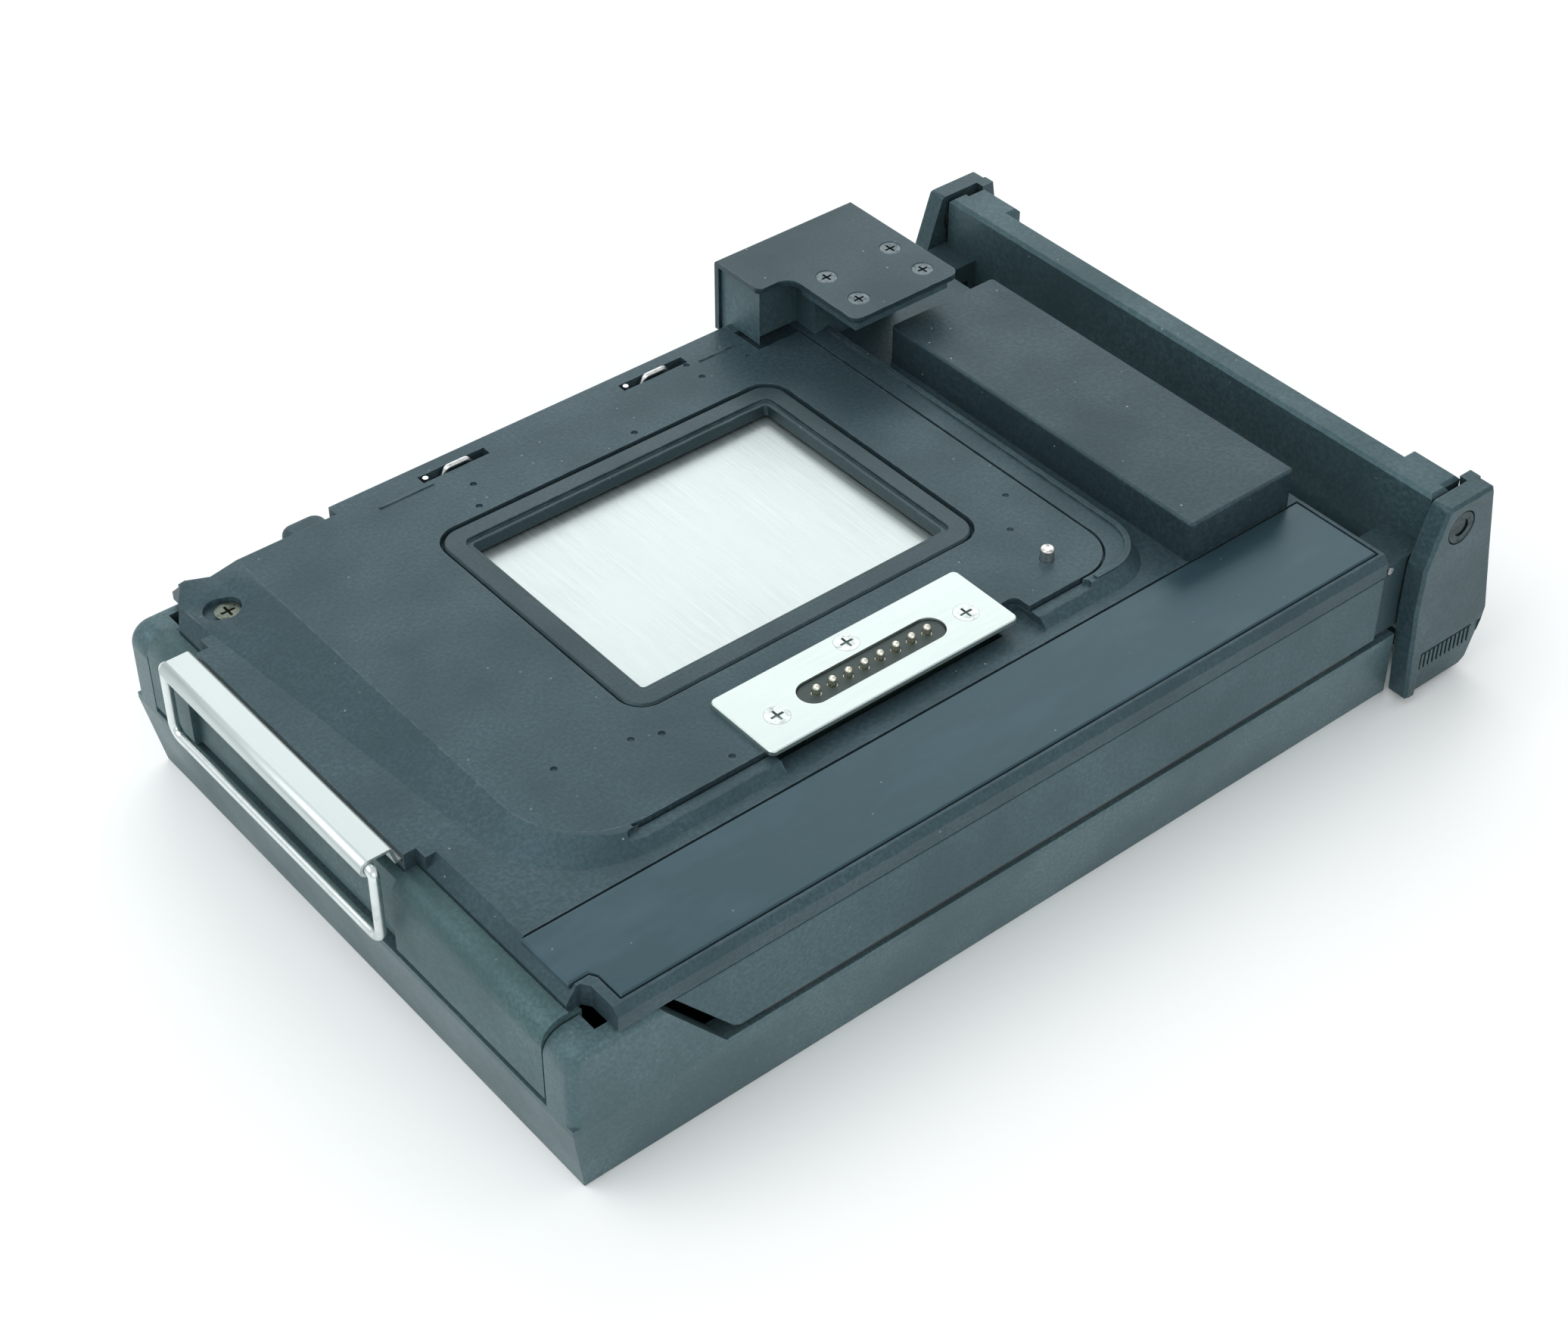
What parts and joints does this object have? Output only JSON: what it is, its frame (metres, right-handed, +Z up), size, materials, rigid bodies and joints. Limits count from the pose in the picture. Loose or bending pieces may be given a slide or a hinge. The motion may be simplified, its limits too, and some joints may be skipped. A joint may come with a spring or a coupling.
{
  "type": "instant pack-film holder",
  "caption": "Flat black instant pack-film back for a medium-format camera, lying on its hinged rear door, with a steel dark slide, a camera plate with sprung contacts, rollers and a latch.",
  "frame": {"origin": "middle of the footprint, on the surface that the rear door lies on", "axes": "+X from the hinge and dark slide end to the roller and latch end, +Y to the side with the camera's catch slots, +Z up out of the camera plate"},
  "size_m": [0.1774, 0.1158, 0.044],
  "materials": {
    "cover_black": "fine pebbled black moulding with a satin sheen",
    "plate_black": "fine black crackle paint",
    "aperture_black": "satin black anodised frame, worn on its edges",
    "strip_black": "smooth satin black strip",
    "worn_screw": "black screw worn to bare metal",
    "contact_plate_metal": "bright satin plate",
    "bright_screw": "bright plated screw",
    "insulator_grey": "grey-green insulating plastic",
    "board": "contact carrier board",
    "barrel_brass": "plated brass sleeve",
    "interlock_steel": "turned steel pin",
    "spring_steel": "plated spring steel",
    "housing_black": "fine pebbled black moulding",
    "core_black": "black moulding",
    "side_cover_black": "black painted sheet",
    "black_screw": "blackened screw",
    "end_black": "black moulding",
    "side_black": "black moulding",
    "chamber_black": "flat black chamber",
    "door_black": "fine textured black moulding",
    "pin_steel": "steel pin",
    "leaf_steel": "spring steel leaf",
    "foam": "black light-sealing foam",
    "frame_metal": "blackened steel",
    "roller_steel": "ground stainless roller",
    "bush_plastic": "acetal bearing",
    "bar_black": "black moulding",
    "latch_black": "black moulding with a ribbed grip",
    "rivet_steel": "blackened rivet",
    "washer_plastic": "thin plastic washer",
    "slide_steel": "satin stainless sheet",
    "wire_steel": "bright steel wire",
    "felt": "black light-trap felt",
    "contact_gold": "plated contact tip"
  },
  "bodies": {
    "rear_door": {"back_door": "door_black", "pack_springs": "leaf_steel", "door_light_seals": "foam"},
    "holder": {"front_cover": "cover_black", "mount_plate": "plate_black", "aperture_frame": "aperture_black", "grip_strip": "strip_black", "cover_screw": "worn_screw", "contact_plate": "contact_plate_metal", "contact_plate_screws": "bright_screw", "contact_insulator": "insulator_grey", "contact_board": "board", "contact_barrels": "barrel_brass", "interlock_spring": "spring_steel", "catch_spring_left": "spring_steel", "catch_spring_right": "spring_steel", "roller_housing": "housing_black", "side_block_core": "core_black", "side_block_cover": "side_cover_black", "side_block_screws": "black_screw", "end_panel": "end_black", "side_panel_near": "side_black", "side_panel_far": "side_black", "film_gate": "chamber_black", "hinge_pins": "pin_steel", "bracket_pins": "pin_steel", "roller_frame": "frame_metal", "roller_lower_bushes": "bush_plastic", "roller_springs": "spring_steel", "cross_bar": "bar_black", "latch_pivots": "rivet_steel", "slide_light_seal": "felt"},
    "latch": {"latch_arm_near": "latch_black", "latch_arm_far": "latch_black", "latch_tie_bar": "latch_black", "latch_washers": "washer_plastic"},
    "lower_roller": {"roller_lower": "roller_steel"},
    "upper_bearings": {"roller_bearing_blocks": "bush_plastic"},
    "upper_roller": {"roller_upper": "roller_steel"},
    "dark_slide": {"dark_slide": "slide_steel"},
    "slide_handle": {"dark_slide_handle": "wire_steel"},
    "interlock": {"interlock_pin": "interlock_steel"},
    "contact_1": {"contact_pin_1": "contact_gold"},
    "contact_2": {"contact_pin_2": "contact_gold"},
    "contact_3": {"contact_pin_3": "contact_gold"},
    "contact_4": {"contact_pin_4": "contact_gold"},
    "contact_5": {"contact_pin_5": "contact_gold"},
    "contact_6": {"contact_pin_6": "contact_gold"},
    "contact_7": {"contact_pin_7": "contact_gold"},
    "contact_8": {"contact_pin_8": "contact_gold"}
  },
  "joints": [
    {"name": "door_hinge", "type": "hinge", "parent": "rear_door", "child": "holder", "pos_m": [-0.0815, 0, 0.0235], "axis": [0, -1, 0], "range_deg": [0, 95]},
    {"name": "latch_pivot", "type": "hinge", "parent": "holder", "child": "latch", "pos_m": [0.0778, 0, 0.0324], "axis": [0, -1, 0], "range_deg": [0, 40]},
    {"name": "lower_roller_spin", "type": "hinge", "parent": "holder", "child": "lower_roller", "pos_m": [0.0705, 0, 0.0097], "axis": [0, 1, 0], "continuous": true},
    {"name": "upper_bearing_lift", "type": "slide", "parent": "holder", "child": "upper_bearings", "axis": [0, 0, 1], "range_m": [0, 0.001], "stiffness_N_per_m": 1500, "springref_m": -0.004, "deforming": ["roller_springs"]},
    {"name": "upper_roller_spin", "type": "hinge", "parent": "upper_bearings", "child": "upper_roller", "pos_m": [0.0705, 0, 0.0186], "axis": [0, 1, 0], "continuous": true},
    {"name": "dark_slide_pull", "type": "slide", "parent": "holder", "child": "dark_slide", "axis": [-1, 0, 0], "range_m": [0, 0.1]},
    {"name": "slide_handle_swing", "type": "hinge", "parent": "dark_slide", "child": "slide_handle", "pos_m": [-0.0873, 0.0115, 0.0312], "axis": [0, 1, 0], "range_deg": [0, 100]},
    {"name": "interlock_press", "type": "slide", "parent": "holder", "child": "interlock", "axis": [0, 0, -1], "range_m": [0, 0.0015], "stiffness_N_per_m": 300, "springref_m": -0.001, "deforming": ["interlock_spring"]},
    {"name": "contact_1_press", "type": "slide", "parent": "holder", "child": "contact_1", "axis": [0, 0, -1], "range_m": [0, 0.0009], "stiffness_N_per_m": 200, "springref_m": -0.001},
    {"name": "contact_2_press", "type": "slide", "parent": "holder", "child": "contact_2", "axis": [0, 0, -1], "range_m": [0, 0.0009], "stiffness_N_per_m": 200, "springref_m": -0.001},
    {"name": "contact_3_press", "type": "slide", "parent": "holder", "child": "contact_3", "axis": [0, 0, -1], "range_m": [0, 0.0009], "stiffness_N_per_m": 200, "springref_m": -0.001},
    {"name": "contact_4_press", "type": "slide", "parent": "holder", "child": "contact_4", "axis": [0, 0, -1], "range_m": [0, 0.0009], "stiffness_N_per_m": 200, "springref_m": -0.001},
    {"name": "contact_5_press", "type": "slide", "parent": "holder", "child": "contact_5", "axis": [0, 0, -1], "range_m": [0, 0.0009], "stiffness_N_per_m": 200, "springref_m": -0.001},
    {"name": "contact_6_press", "type": "slide", "parent": "holder", "child": "contact_6", "axis": [0, 0, -1], "range_m": [0, 0.0009], "stiffness_N_per_m": 200, "springref_m": -0.001},
    {"name": "contact_7_press", "type": "slide", "parent": "holder", "child": "contact_7", "axis": [0, 0, -1], "range_m": [0, 0.0009], "stiffness_N_per_m": 200, "springref_m": -0.001},
    {"name": "contact_8_press", "type": "slide", "parent": "holder", "child": "contact_8", "axis": [0, 0, -1], "range_m": [0, 0.0009], "stiffness_N_per_m": 200, "springref_m": -0.001}
  ],
  "couplings": [
    {"joint": "upper_roller_spin", "follows": "lower_roller_spin", "ratio": -1}
  ]
}
